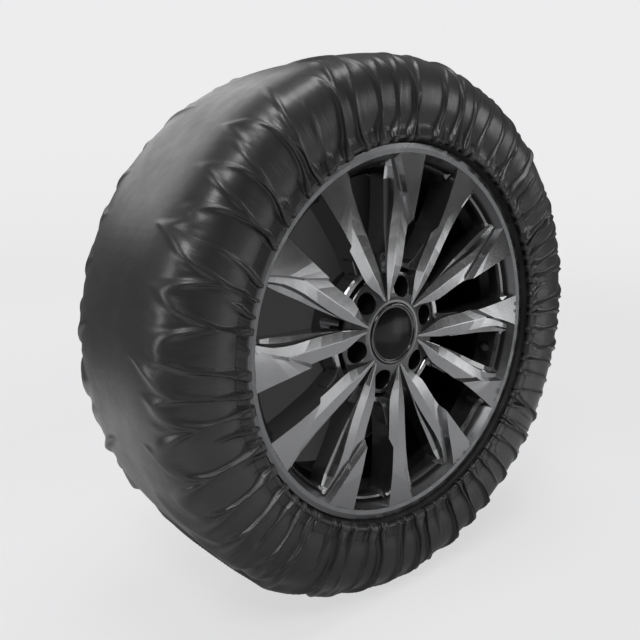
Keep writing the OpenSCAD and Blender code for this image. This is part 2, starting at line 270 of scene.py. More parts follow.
def add_painted_shade_card():
    """A card inside the barrel that paints shade into the windows: a faint glow, dimmer towards
    +X.
    It is part of the stage, and it can only be seen from the styled side."""
    sides = 96
    verts = [(0.0, CARD_Y, 0.0)]
    verts += [(CARD_R * math.cos(2 * math.pi * k / sides), CARD_Y,
               CARD_R * math.sin(2 * math.pi * k / sides)) for k in range(sides)]
    faces = [(0, 1 + k, 1 + (k + 1) % sides) for k in range(sides)]
    card = mesh_object("painted_shade_card", verts, faces, smooth=False)
    tree = stage_tree(card)
    place = node(tree, "ShaderNodeTexCoord").outputs["Object"]
    across = node(tree, "ShaderNodeSeparateXYZ", i0=place).outputs["X"]
    # The card's glow is painted shade, dimmer towards +X.
    matt = node(tree, "ShaderNodeEmission",
                Strength=map_range(tree, across, -0.05, 0.09, 0.036, 0.002))
    clear = node(tree, "ShaderNodeBsdfTransparent")
    behind = node(tree, "ShaderNodeNewGeometry").outputs["Backfacing"]
    mix = node(tree, "ShaderNodeMixShader", i0=behind, i1=matt.outputs[0], i2=clear.outputs[0])
    node(tree, "ShaderNodeOutputMaterial", i0=mix.outputs[0])


# -------- materials

def shaded(colour, factor, lift=0.0):
    return tuple(min(1, factor * c + lift) for c in colour)


class Surface:
    """A Principled material that is built up from noise, grain and bump."""

    def __init__(self, name, base, roughness, metallic=0.0, **sockets):
        self.material = bpy.data.materials.new(name)
        self.material.use_nodes = True
        self.tree = self.material.node_tree
        self.shader = self.tree.nodes["Principled BSDF"]
        sockets.update(Base_Color=(*base, 1), Roughness=roughness, Metallic=metallic)
        for key, value in sockets.items():
            self.shader.inputs[key.replace("_", " ")].default_value = value
        self.place = node(self.tree, "ShaderNodeTexCoord").outputs["Object"]
        self.normal = None

    def add(self, kind, settings=None, **values):
        return node(self.tree, kind, settings, **values)

    def drive(self, socket_name, output):
        self.tree.links.new(output, self.shader.inputs[socket_name])

    def noise(self, scale, detail=3.0, rough=0.5, place=None, distortion=0.0):
        return self.add("ShaderNodeTexNoise", Vector=place or self.place, Scale=scale,
                        Detail=detail, Roughness=rough, Distortion=distortion).outputs[0]

    def cells(self, scale, feature="F1"):
        return self.add("ShaderNodeTexVoronoi", {"feature": feature}, Vector=self.place,
                        Scale=scale).outputs["Distance"]

    def stretched(self, x, y, z, place=None):
        return self.add("ShaderNodeMapping", Vector=place or self.place,
                        Scale=(x, y, z)).outputs[0]

    def reach(self):
        """Distance from the axle."""
        return length_of(self.tree, self.stretched(1.0, 0.0, 1.0))

    def round_axle(self):
        """The angle round the axle, and the place along it."""
        split = self.add("ShaderNodeSeparateXYZ", i0=self.place).outputs
        return self.calc("ARCTAN2", split["Z"], split["X"]), split["Y"]

    def calc(self, operation, *values):
        return calculate(self.tree, operation, *values)

    def mapped(self, value, low, high, to_low, to_high):
        return map_range(self.tree, value, low, high, to_low, to_high)

    def tint(self, value, dark, light, low=0.3, high=0.7):
        """Base colour that runs from dark to light as value runs from low to high."""
        mix = self.add("ShaderNodeMix", {"data_type": "RGBA"}, i6=(*dark, 1), i7=(*light, 1),
                       i0=self.mapped(value, low, high, 0.0, 1.0))
        self.drive("Base Color", mix.outputs[2])

    def vary_roughness(self, value, to_low, to_high, low=0.3, high=0.7):
        self.drive("Roughness", self.mapped(value, low, high, to_low, to_high))

    def bump(self, height, distance, strength=1.0):
        made = self.add("ShaderNodeBump", Height=height, Distance=distance, Strength=strength)
        if self.normal is not None:
            self.tree.links.new(self.normal, made.inputs["Normal"])
        self.normal = made.outputs[0]
        self.drive("Normal", self.normal)


# Wrinkles of the cloth: waves per radian, waves per metre of radius and width, height, strength.
WRINKLES = (22.0, 9.0, 0.0022, 0.42), (60.0, 16.0, 0.0010, 0.26)
SLACK_R, TAUT_R = 0.368, 0.385  # the tread band is stretched smooth


def cloth_surface(name, base, roughness):
    """Satin coated cloth: fine pebble grain, soft sheen, uneven tone, and wrinkles where it is
    slack.
    """
    s = Surface(name, base, roughness, Specular_IOR_Level=0.62, Sheen_Weight=0.06,
                Sheen_Roughness=0.4, Coat_Weight=0.32, Coat_Roughness=0.27)
    s.tint(s.noise(9.0, 4.0, 0.55), shaded(base, 0.72), shaded(base, 1.5, 0.004), 0.25, 0.8)
    s.vary_roughness(s.noise(26.0, 5.0, 0.6), roughness - 0.07, roughness + 0.09)
    angle, width = s.round_axle()
    reach = s.reach()
    unrolled = s.add("ShaderNodeCombineXYZ", i0=angle, i1=reach, i2=width).outputs[0]
    slack = s.mapped(reach, SLACK_R, TAUT_R, 1.0, 0.3)
    for turning, along_it, distance, strength in WRINKLES:
        place = s.stretched(turning, along_it, along_it, unrolled)
        wrinkles = s.noise(1.0, 3.0, 0.5, place=place, distortion=0.5)
        s.bump(s.calc("MULTIPLY", wrinkles, slack), distance, strength)
    s.bump(s.cells(620.0, "SMOOTH_F1"), 0.00015, 0.6)
    s.bump(s.noise(1500.0, 2.0), 0.00006, 0.35)
    s.bump(s.noise(70.0, 3.0, 0.55, distortion=0.4), 0.0006, 0.45)
    return s.material


def paint_surface(name, base, roughness):
    """Satin metallic paint: fine flake, orange peel, and slight dust in the roughness."""
    s = Surface(name, base, roughness, 0.9, Coat_Weight=0.7, Coat_Roughness=0.07)
    s.tint(s.cells(2600.0), shaded(base, 0.82), shaded(base, 1.25), 0.0, 0.9)
    s.vary_roughness(s.noise(14.0, 5.0, 0.6), roughness - 0.05, roughness + 0.08)
    s.bump(s.noise(240.0, 2.0, 0.4), 0.00005, 0.5)
    s.bump(s.noise(2600.0, 1.0), 0.00001, 0.4)
    return s.material


LIP_START, LIP_FULL = 0.2475, 0.2505  # radii between which the rim's near-black painted shade inside gives way to its paint


def barrel_surface(name, base, roughness):
    """The rim: painted lip, and inside it a near-black base colour that is painted shade, with
    faint turning rings.
    """
    s = Surface(name, base, roughness, 0.9, Coat_Weight=0.2, Coat_Roughness=0.3)
    lip = s.mapped(s.reach(), LIP_START, LIP_FULL, 0.0, 1.0)
    worn = s.mapped(s.noise(30.0, 5.0, 0.6), 0.3, 0.7, 0.0, 0.02)
    # Below the lip the base colour is near black: painted shade inside the barrel.
    s.tint(s.calc("ADD", lip, worn), (0.012, 0.012, 0.013), base, 0.0, 1.0)
    grain = s.mapped(s.noise(70.0, 4.0), 0.3, 0.7, -0.05, 0.07)
    s.drive("Roughness", s.calc("ADD", s.mapped(lip, 0.0, 1.0, 0.5, roughness), grain))
    s.bump(s.noise(500.0, 3.0, 0.5, place=s.stretched(0.15, 6.0, 0.15)), 0.00004, 0.5)
    return s.material


def gloss_surface(name, base, roughness, shine):
    """Gloss moulded plastic with a faint mould texture and fine wiping marks."""
    s = Surface(name, base, roughness, Specular_IOR_Level=shine, Coat_Weight=shine,
                Coat_Roughness=0.06)
    s.tint(s.noise(40.0, 4.0), base, shaded(base, 2.2, 0.002))
    s.vary_roughness(s.noise(55.0, 6.0, 0.7, distortion=0.6), roughness, roughness + 0.1)
    s.bump(s.noise(900.0, 2.0), 0.000012, 0.5)
    return s.material


def matt_plastic_surface(name, base, roughness):
    s = Surface(name, base, roughness)
    s.tint(s.noise(90.0, 4.0), shaded(base, 0.7), shaded(base, 1.5, 0.003))
    s.vary_roughness(s.noise(160.0, 3.0), roughness - 0.08, roughness + 0.1)
    s.bump(s.cells(2400.0), 0.00004, 0.6)
    return s.material


def rubber_surface(name, base, roughness, ribs=0.0):
    """Moulded rubber, with fine rings round the axle where ribs is above 0."""
    s = Surface(name, base, roughness, Specular_IOR_Level=0.35)
    s.tint(s.noise(22.0, 5.0, 0.6), shaded(base, 0.6), shaded(base, 2.1, 0.004))
    s.vary_roughness(s.noise(60.0, 5.0, 0.6), roughness - 0.12, roughness + 0.1)
    if ribs:
        s.bump(s.calc("SINE", s.calc("MULTIPLY", s.reach(), ribs)), 0.00025, 0.6)
    s.bump(s.noise(700.0, 3.0, 0.6), 0.00012, 0.5)
    return s.material


def metal_surface(name, base, roughness):
    """Bare metal with a fine machined or drawn grain."""
    s = Surface(name, base, roughness, 1.0)
    grain = s.noise(900.0, 4.0, 0.6)
    s.tint(grain, shaded(base, 0.7), shaded(base, 1.15))
    s.vary_roughness(grain, roughness - 0.08, roughness + 0.12)
    s.bump(grain, 0.00003, 0.6)
    return s.material


def cord_surface(name, base, dark, pitch, roughness=0.75):
    """Parallel cords across the axle, laid in rubber, or the fine wrap of a covered elastic."""
    s = Surface(name, base, roughness, Sheen_Weight=0.1)
    angle, width = s.round_axle()
    total = s.calc("ADD", s.calc("MULTIPLY", angle, pitch), s.calc("MULTIPLY", width, 900.0))
    wave = s.calc("SINE", total)
    s.tint(wave, dark, base, -0.6, 0.6)
    s.bump(wave, 0.0003, 0.8)
    s.bump(s.noise(1200.0, 2.0), 0.00006, 0.5)
    return s.material


def make_materials():
    cloth = (0.027, 0.0273, 0.0285)
    return {
        "wheel_alloy": paint_surface("gunmetal_paint", (0.27, 0.272, 0.277), 0.18),
        # A darker copy of the wheel's paint: painted shade on the hub's front and the hub disc.
        "shade": paint_surface("painted_recess_shade", (0.085, 0.086, 0.089), 0.3),
        "rim": barrel_surface("rim_paint_and_painted_shade", (0.17, 0.172, 0.176), 0.3),
        "cap_plastic": gloss_surface("gloss_black_cap", (0.004, 0.004, 0.0045), 0.14, 0.1),
        "cap_rim": gloss_surface("gloss_black_rim", (0.006, 0.006, 0.007), 0.08, 0.8),
        "spring_steel": metal_surface("spring_wire", (0.55, 0.55, 0.57), 0.32),
        "brass": metal_surface("machined_brass", (0.72, 0.52, 0.24), 0.3),
        "valve_rubber": rubber_surface("valve_rubber", (0.016, 0.016, 0.016), 0.6),
        "valve_cap_plastic": matt_plastic_surface("valve_cap_plastic", (0.02, 0.02, 0.021), 0.5),
        "tyre_rubber": rubber_surface("tyre_rubber", (0.018, 0.018, 0.0185), 0.62, 3200.0),
        "ply_cord": cord_surface("ply_cord", (0.42, 0.34, 0.22), (0.12, 0.09, 0.06), 1900.0),
        "belt_steel": cord_surface("belt_cord", (0.5, 0.42, 0.28), (0.1, 0.08, 0.05), 1700.0,
                                   0.45),
        "lining_rubber": rubber_surface("lining_rubber", (0.024, 0.024, 0.024), 0.55),
        "sock_cloth": cloth_surface("satin_cloth", cloth, 0.39),
        "sock_seam": cloth_surface("seam_cloth", shaded(cloth, 0.95), 0.39),
        "sock_hem": cloth_surface("hem_cloth", shaded(cloth, 0.9), 0.41),
        "elastic": cord_surface("covered_elastic", (0.04, 0.04, 0.042), (0.012, 0.012, 0.013),
                                1400.0, 0.8),
        "thread": cord_surface("sewing_thread", (0.05, 0.05, 0.053), (0.015, 0.015, 0.016),
                               5200.0),
    }


# -------- cloth simulation
# The cover is a closed band of cloth, gathered at both edges by an elastic. Its points are an
# array of shape (3, N, M): N columns round the wheel, M rows from the outer hem to the inner.

F = np.float32
SLACK_SIDE = math.radians(-15)  # where round the wheel the cloth is loosest
SLACK_LOW, SLACK_HIGH = 0.008, 0.085
WIDTH_SLACK = 0.004
HUG = 1.3e-5  # pull of the stretched cloth towards the tyre, per step
FALL = 2.5e-6  # by gravity, per step
MOST_MOVE, MOST_PUSH = 0.004, 0.006  # of a point in one step
GRIP = 0.6  # share of its move that a touching point keeps
LEAST_GAP = 0.12  # of neighbours in a row, as a share of their even spacing
EDGE_SHARE = 0.12  # of the half width: where the hem's own ripples are
EDGE_RIPPLE = 0.0009
STRETCH, SHEAR, BEND_ACROSS = 0.9, 0.15, 0.014  # stiffness of the cloth
FINE_RIPPLE, BAGGY_RIPPLE = 0.0006, 0.0022  # heights at the start, in metres
HEM_LOW, HEM_HIGH, HEM_REST = 0.0005, 0.006, 0.003  # of the cloth's edge above the hem's ring
HEM_NEAR, HEM_FAR = 0.002, 0.0085  # of the edge outwards from the ring

# The coarse and the fine grid: columns, rows, steps, damping, bending stiffness.
LEVELS = (600, 61, 380, 0.92, 0.012), (1200, 81, 300, 0.82, 0.006)

# Folds to start from, in each set: count, reach up the side, width in radians, height.
FOLD_SETS = (44, 0.75, 0.028, 0.005), (66, 0.3, 0.014, 0.003), (11, 1.9, 0.035, 0.005)
CROWN_POWER, SHOULDER_POWER = 4.2, 3.0  # of the tyre's rounded section
LOWER_RUN, LOWER_DROP = 0.049, 0.013  # sidewall below the widest point


def section_path():
    """The cloth's rest line from the crown's middle to the hem: arc length, radius, y."""
    a = np.linspace(0, np.pi / 2, 4000)
    r = WIDEST_R + (TYRE_R - WIDEST_R) * np.cos(a) ** (2 / 3)
    y = TYRE_HALF_W * np.sin(a) ** 0.476
    s = np.linspace(0, 1, 1300)[1:]
    r = np.concatenate([r, WIDEST_R - LOWER_RUN * s])
    y = np.concatenate([y, TYRE_HALF_W - LOWER_DROP * s * s])
    dr, dy = np.gradient(r), np.gradient(y)
    length = np.hypot(dr, dy) + 1e-12
    r, y = r + dy / length * CLOTH_GAP, y - dr / length * CLOTH_GAP
    kept = r > HEM_RING_R + 0.006
    r, y = np.append(r[kept], HEM_RING_R + 0.002), np.append(y[kept], HEM_Y + 0.004)
    arc = np.concatenate([[0], np.cumsum(np.hypot(np.diff(r), np.diff(y)))])
    return arc, r, y


def radius(x):
    """Distance from the axle."""
    return np.sqrt(x[0] ** 2 + x[2] ** 2)


def keep_off_tyre(x):
    """Moves points out of the tyre and off the floor; returns which ones it touched."""
    r = radius(x)
    y = np.abs(x[1])
    side = np.sign(x[1])
    half_w, depth = TYRE_HALF_W + CLOTH_GAP, TYRE_R + CLOTH_GAP - WIDEST_R
    upper = r > WIDEST_R
    yn = np.clip(y / half_w, 1e-3, None)
    rn = np.clip((r - WIDEST_R) / depth, 1e-3, None)
    value = yn ** CROWN_POWER + rn ** SHOULDER_POWER - 1
    slope_y = CROWN_POWER * yn ** (CROWN_POWER - 1) / half_w
    slope_r = SHOULDER_POWER * rn ** (SHOULDER_POWER - 1) / depth
    inside = upper & (value < 0)
    push = np.clip(np.where(inside, -value / (slope_y ** 2 + slope_r ** 2), 0), 0, None)
    dy, dr = np.clip(push * slope_y, 0, MOST_PUSH), np.clip(push * slope_r, 0, MOST_PUSH)
    t = (WIDEST_R - r) / LOWER_RUN
    wall = TYRE_HALF_W - LOWER_DROP * t * t + CLOTH_GAP
    below = ~upper & (y < wall)
    dy = np.where(below, np.clip(wall - y, 0, MOST_PUSH), dy)
    x[::2] *= (r + dr) / np.maximum(r, 1e-6)
    x[1] += side * dy
    ground = FLOOR_Z + 0.0004
    sunk = x[2] < ground
    x[2] = np.where(sunk, ground, x[2])
    return inside | below | sunk


def pull(a, b, rest, stiffness):
    """Moves two sets of points towards their rest distance; gives the first set's move."""
    d = b - a
    length = np.sqrt((d * d).sum(0))
    d *= (length - rest) / (length + 1e-9) * 0.5 * stiffness
    a += d
    b -= d
    return d


def stretch_round(x, rest, stiffness):
    pull(x[:, 0::2], x[:, 1::2], rest, stiffness)
    d = pull(x[:, 1::2], np.roll(x[:, 0::2], -1, axis=1), rest, stiffness)
    x[:, 0::2] -= np.roll(d, 1, axis=1)


def stretch_across(x, rest, stiffness):
    rows = x.shape[2]
    for c in (0, 1):
        pull(x[:, :, c:rows - 1:2], x[:, :, c + 1:rows:2], rest, stiffness)


def shear(x, rest, stiffness):
    rows = x.shape[2]
    for turned in (False, True):
        w = np.roll(x, -1, axis=1) if turned else x
        for c in (0, 1):
            near, far = slice(c, rows - 1, 2), slice(c + 1, rows, 2)
            for first, second in ((near, far), (far, near)):
                pull(w[:, 0::2, first], w[:, 1::2, second], rest, stiffness)
        if turned:
            x[:] = np.roll(w, 1, axis=1)


def bend_round(x, weight):
    d = np.roll(x, 1, axis=1) + np.roll(x, -1, axis=1) - 2 * x
    x += weight * (2 * d - np.roll(d, 1, axis=1) - np.roll(d, -1, axis=1))


def bend_across(x, weight):
    d = np.zeros_like(x)
    d[:, :, 1:-1] = x[:, :, :-2] + x[:, :, 2:] - 2 * x[:, :, 1:-1]
    x += weight * 2 * d
    x[:, :, :-1] -= weight * d[:, :, 1:]
    x[:, :, 1:] -= weight * d[:, :, :-1]


def turn_points(x, turn):
    """Turns each point about the axle."""
    cos, sin = np.cos(turn), np.sin(turn)
    x0 = x[0] * cos - x[2] * sin
    x[2] = x[0] * sin + x[2] * cos
    x[0] = x0


def keep_order(x):
    """Stops folds from crossing: neighbours in a row keep part of their angle apart."""
    angle = np.arctan2(x[2], x[0])
    gap = np.roll(angle, -1, axis=0) - angle
    gap = (gap + np.pi) % (2 * np.pi) - np.pi
    short = np.clip(LEAST_GAP * 2 * np.pi / x.shape[1] - gap, 0, None) * 0.5
    turn_points(x, np.roll(short, 1, axis=0) - short)


def lay_folds_over(x, share=0.55):
    """Leans each fold's crest downhill in proportion to how far it stands off the tyre."""
    r = radius(x)
    y = np.abs(x[1])
    depth = TYRE_R - WIDEST_R
    rn = np.clip((r - WIDEST_R) / depth, 0, None)
    outer = ((y / TYRE_HALF_W) ** CROWN_POWER + rn ** SHOULDER_POWER) ** (1 / SHOULDER_POWER)
    high = np.where(r > WIDEST_R, (outer - 1) * depth,
                    y - TYRE_HALF_W + LOWER_DROP * ((WIDEST_R - r) / LOWER_RUN) ** 2)
    turn_points(x, -share * np.clip(high - 0.002, 0, 0.008) * (x[0] / r) / r)


def hold_hems(x, share=0.3):
    """Each edge lies on the upper outside of its elastic, free to ripple a little."""
    for j in (0, -1):
        r = radius(x[:, :, j])
        want = np.clip(r, HEM_RING_R + HEM_LOW, HEM_RING_R + HEM_HIGH)
        want = r + (want - r) * share + (HEM_RING_R + HEM_REST - r) * 0.02
        x[::2, :, j] *= want / r
        y = x[1, :, j]
        x[1, :, j] = np.sign(y) * np.clip(np.abs(y), HEM_Y + HEM_NEAR, HEM_Y + HEM_FAR)
    for j in (0, 1, -1, -2):
        r = radius(x[:, :, j])
        off_r, off_y = r - HEM_RING_R, np.abs(x[1, :, j]) - HEM_Y
        reach = np.hypot(off_r, off_y) + 1e-9
        grow = np.maximum(1, (ELASTIC_R + 0.0012) / reach) - 1
        x[::2, :, j] *= (r + off_r * grow) / r
        x[1, :, j] += np.sign(x[1, :, j]) * off_y * grow


def upsample(x, columns, rows):
    """Cubic resampling of the grid, periodic round the wheel."""
    n, m = x.shape[1:]

    def weights(t):
        return np.stack([((-t + 2) * t - 1) * t, (3 * t - 5) * t * t + 2,
                         ((-3 * t + 4) * t + 1) * t, (t - 1) * t * t]) / 2

    u = np.linspace(0, n, columns, endpoint=False)
    i = np.floor(u).astype(int)
    wu = weights(u - i)
    wide = sum(wu[k][None, :, None] * x[:, (i + k - 1) % n] for k in range(4))
    v = np.linspace(0, m - 1, rows)
    j = np.minimum(np.floor(v).astype(int), m - 2)
    wv = weights(v - j)
    first = 2 * wide[:, :, :1] - wide[:, :, 1:2]
    last = 2 * wide[:, :, -1:] - wide[:, :, -2:-1]
    tall = np.concatenate([first, wide, last], axis=2)
    return sum(wv[k][None, None, :] * tall[:, :, j + k] for k in range(4)).astype(F)


def ripples(columns, rows, waves, lean):
    """Smooth noise with about so many waves round the wheel."""
    u = np.arange(columns) / columns * 2 * np.pi
    v = np.linspace(0, 1, rows)
    total = np.zeros((columns, rows))
    for _ in range(24):
        count = rng.integers(max(1, int(waves * 0.6)), int(waves * 1.5) + 1)
        slant = rng.uniform(-lean, lean) * np.pi
        phase = rng.uniform(0, 2 * np.pi)
        total += np.cos(count * u[:, None] + slant * v[None, :] + phase)
    return total / np.sqrt(12)


def seed_folds(columns, rows, count, reach, width, height):
    """Ridges that run up from both hems, unevenly spaced, each with its own length and lean."""
    u = np.arange(columns) / columns * 2 * np.pi
    v = np.linspace(-1, 1, rows)
    total = np.zeros((columns, rows))
    for side in (-1, 1):
        from_hem = np.clip(1 - side * v, 0, 1)  # 0 at this side's hem, 1 at the crown
        gaps = rng.uniform(0.45, 1.6, count)
        places = np.cumsum(gaps) / gaps.sum() * 2 * np.pi
        for place in places:
            top = reach * rng.uniform(0.45, 1.35)
            bend = rng.normal(0, 0.03)
            lean = rng.normal(0, 0.04)
            line = place + lean * from_hem + bend * from_hem ** 2
            off = (u[:, None] - line[None, :] + np.pi) % (2 * np.pi) - np.pi
            wide = width * rng.uniform(0.6, 1.5)
            fade = np.clip((top - from_hem) / (0.35 * top), 0, 1) * (side * v > 0)
            total += height * rng.uniform(0.4, 1.6) * np.exp(-(off / wide) ** 2) * fade[None, :]
    return total


def outward(x):
    """Unit vectors away from the middle of the tyre's section."""
    r = radius(x)
    centre = np.stack([x[0] / r * 0.32, 0 * r, x[2] / r * 0.32])
    n = x - centre
    return n / np.sqrt((n * n).sum(0))


def simulate_cloth():
    """The cover's points, and the flat size of its cloth: width and length."""
    arc, r, y = section_path()
    angle = np.linspace(0, 2 * np.pi, 7201)
    loose = (0.5 + 0.5 * np.cos(angle - SLACK_SIDE)) ** 0.8
    density = 1 + SLACK_LOW + (SLACK_HIGH - SLACK_LOW) * loose
    cloth = np.concatenate([[0], np.cumsum((density[1:] + density[:-1]) / 2 * np.diff(angle))])
    length, width = cloth[-1] * COVER_R, 2 * arc[-1] * (1 + WIDTH_SLACK)
    columns, rows = LEVELS[0][:2]
    theta = np.interp(np.linspace(0, cloth[-1], columns, endpoint=False), cloth, angle)
    v = np.linspace(-1, 1, rows)
    rr, yy = np.interp(np.abs(v) * arc[-1], arc, r), np.interp(np.abs(v) * arc[-1], arc, y)
    x = np.zeros((3, columns, rows), F)
    x[0] = rr * np.cos(theta)[:, None]
    x[1] = yy * np.sign(v)
    x[2] = rr * np.sin(theta)[:, None]
    start = sum(seed_folds(columns, rows, *fold_set) for fold_set in FOLD_SETS)
    start += FINE_RIPPLE * np.abs(ripples(columns, rows, 30, 4))
    baggy = (0.5 + 0.5 * np.cos(theta - SLACK_SIDE))[:, None] ** 3
    start += BAGGY_RIPPLE * np.abs(ripples(columns, rows, 75, 11)) * baggy
    x += (outward(x) * start).astype(F)
    for level, (columns, rows, steps, damping, bending) in enumerate(LEVELS):
        from_edge = (1 - np.abs(np.linspace(-1, 1, rows))) / EDGE_SHARE
        if level:
            x = upsample(x, columns, rows)
            edge = np.exp(-from_edge ** 2)
            x += (outward(x) * EDGE_RIPPLE * ripples(columns, rows, 120, 2) * edge).astype(F)
        hug = HUG * np.clip(from_edge, 0, 1)
        rest_u, rest_v = F(length / columns), F(width / (rows - 1))
        rest_d = F(math.hypot(rest_u, rest_v))
        before = x.copy()
        for _ in range(steps):
            move = (x - before) * F(damping)
            speed = np.sqrt((move * move).sum(0))
            move *= np.minimum(1, MOST_MOVE / (speed + 1e-9))
            before = x.copy()
            x = x + move
            x[2] -= F(FALL)
            x -= (outward(x) * hug).astype(F)
            for _ in range(2):
                bend_round(x, F(bending))
                bend_across(x, F(BEND_ACROSS))
                shear(x, rest_d, F(SHEAR))
                stretch_across(x, rest_v, F(STRETCH))
                stretch_round(x, rest_u, F(STRETCH))
            touching = keep_off_tyre(x)
            x = np.where(touching[None], before + (x - before) * F(GRIP), x)
            keep_order(x)
            hold_hems(x)
            keep_off_tyre(x)
    bend_round(x, F(0.03))
    keep_off_tyre(x)
    lay_folds_over(x)
    return x.astype(float), width, length


# -------- the sock's pieces

def grid_faces(columns, rows, closed=True):
    """Quads of a grid, closed round its columns or open; point (i, j) is number i * rows + j."""
    i = np.arange(columns if closed else columns - 1)[:, None]
    j = np.arange(rows - 1)[None, :]
    n = (i + 1) % columns
    quads = np.stack([i * rows + j, n * rows + j, n * rows + j + 1, i * rows + j + 1], axis=-1)
    return quads.reshape(-1, 4)


def grid_normals(x):
    """Outward unit normals of the cloth grid, shape (3, N, M)."""
    du = np.roll(x, -1, axis=1) - np.roll(x, 1, axis=1)
    n = np.cross(du, np.gradient(x, axis=2), axis=0)
    n /= np.sqrt((n * n).sum(0)) + 1e-12
    return n * np.sign((n * outward(x)).sum(0).mean())


HEM_CLEAR = 0.0009  # middle of the hem's cloth above the elastic
HEM_WRAP = math.radians(290)  # how far the hem rolls round the elastic


def make_cover(x, materials):
    """The single sheet of cloth, as one grid mesh."""
    faces = grid_faces(*x.shape[1:])
    cover = mesh_object("cover_cloth", x.transpose(1, 2, 0).reshape(-1, 3), faces,
                        materials["sock_cloth"])
    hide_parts("cover_tread", "cover_outer_side", "cover_inner_side")
    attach(cover, "sock")
    return cover


def make_hem(name, node_name, x, row, materials):
    """The gathered roll round one elastic: it takes over where a cover edge ends."""
    turns = 18
    edge = x[:, :, row]
    side = np.sign(edge[1].mean())
    edge_r = radius(edge)
    unit = np.stack([edge[0] / edge_r, edge[2] / edge_r])
    off_r, off_y = edge_r - HEM_RING_R, side * edge[1] - HEM_Y
    start = np.arctan2(off_y, off_r)
    reach = np.hypot(off_r, off_y)
    rest = ELASTIC_R + HEM_CLEAR
    verts = []
    for k in range(turns + 1):
        t = k / turns
        angle = start + t * HEM_WRAP
        ease = 0.5 - 0.5 * math.cos(math.pi * min(1, 1.15 * t))
        out = reach + (rest + 0.35 * (reach - rest) - reach) * ease
        r = HEM_RING_R + out * np.cos(angle)
        y = side * (HEM_Y + out * np.sin(angle))
        verts.append(np.stack([unit[0] * r, y, unit[1] * r], axis=1))
    verts = np.stack(verts, axis=1)
    hem = mesh_object(name, verts.reshape(-1, 3), grid_faces(len(verts), turns + 1),
                      materials["sock_hem"])
    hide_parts(node_name)
    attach(hem, "sock")
    return hem


def along(x, columns, rows):
    """Points of the cloth at fractional columns and rows."""
    n, m = x.shape[1:]
    i, j = np.floor(columns).astype(int), np.clip(np.floor(rows).astype(int), 0, m - 2)
    a, b = columns - i, rows - j
    p = x[:, i % n, j] * (1 - a) + x[:, (i + 1) % n, j] * a
    q = x[:, i % n, j + 1] * (1 - a) + x[:, (i + 1) % n, j + 1] * a
    return p * (1 - b) + q * b


SEAM_ANGLE = math.radians(-35)
HEM_STITCH_IN = 0.012  # from the cloth's edge to the row of hem stitches
SEAM_HALF_W, SEAM_LIFT = 0.010, 0.0009
# The seam's section: the place across it and its lift, as shares of the two sizes above.
SEAM_SECTION = ((-1.0, 0.0001), (-0.97, 0.65), (-0.9, 1.0), (-0.6, 1.05), (-0.3, 1.0),
                (0.0, 1.05), (0.3, 1.0), (0.6, 1.05), (0.9, 1.0), (0.97, 0.65), (1.0, 0.0001))
SEAM_STITCH_IN = 0.0028  # from the seam's edge to its row of stitches
HEM_PITCH, SEAM_PITCH = 0.0045, 0.004
STITCH_FROM, STITCH_TO = 0.14, 0.86  # of the pitch
THREAD_R = 0.00035


def make_seam(x, normals, length, materials):
    """The lapped seam that closes the cloth into a band; also gives its middle column."""
    columns, rows = x.shape[1:]
    middle_row = rows // 2
    angles = np.arctan2(x[2, :, middle_row], x[0, :, middle_row])
    column = int(np.argmin(np.abs(angles - SEAM_ANGLE)))
    step = length / columns
    line = np.linspace(0, rows - 1, 2 * rows - 1)
    verts = []
    for across, lift in SEAM_SECTION:
        where = np.full(line.shape, column + across * SEAM_HALF_W / step)
        rise = along(normals, where, line) * SEAM_LIFT * lift
        verts += (along(x, where, line) + rise).T.tolist()
    faces = grid_faces(len(SEAM_SECTION), len(line), closed=False)
    seam = mesh_object("seam_lap", verts, faces, materials["sock_seam"])
    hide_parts("closing_seam")
    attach(seam, "sock")
    return seam, column


def make_stitches(name, x, normals, lines, pitch, materials, lift=0.0):
    """Short thread capsules along lines on the cloth, given as fractional columns and rows."""
    sides, rings = 6, 4
    verts, faces = [], []
    for columns, rows in lines:
        up = along(normals, columns, rows)
        points = along(x, columns, rows) + up * lift
        steps = np.sqrt((np.diff(points, axis=1) ** 2).sum(0))
        arc = np.concatenate([[0], np.cumsum(steps)])
        for k in range(int(arc[-1] / pitch)):
            ends = (k + STITCH_FROM) * pitch, (k + STITCH_TO) * pitch
            a, b = (np.array([np.interp(e, arc, points[c]) for c in range(3)]) for e in ends)
            n = np.array([np.interp(ends[0], arc, up[c]) for c in range(3)])
            n /= np.linalg.norm(n)
            d = (b - a) / (np.linalg.norm(b - a) + 1e-9)
            s = np.cross(d, n)
            faces += tube_faces(len(verts), rings, sides)
            for ring in range(rings):
                swell, rise = (0.45, 0.1) if ring in (0, rings - 1) else (1.0, 0.9)
                swell, rise = THREAD_R * swell, THREAD_R * rise
                centre = a + (b - a) * (ring / (rings - 1)) + n * rise
                for c in range(sides):
                    q = 2 * math.pi * c / sides
                    verts.append(centre + swell * (math.cos(q) * s + math.sin(q) * n))
    stitches = mesh_object(name, verts, faces, materials["thread"])
    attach(stitches, "sock")
    return stitches


# -------- the wheel's face
# Each pair of spokes is a V with its point at the hub, between two studs. Sections are given
# in millimetres and degrees: the radius, the angle from the pair's middle, and the height
# towards the styled side. A pair also carries its sixth of the hub's front.

FIRST_STUD, PAIR_STEP = 15.0, 60.0
STUD_R, POCKET_R = 69.85, 15.5
STUD_SIDE = PAIR_STEP / 2
SPOKE_END_R, SPOKE_BACK_END_R = 256, 248.5  # beyond the first, a spoke's back is at the second
EDGE_BEVEL = 0.0012  # metres
POCKET_LIP = 1.1  # chamfer round a nut pocket
HUB_FLOOR = 45.05  # height of the hub plate that the front covers

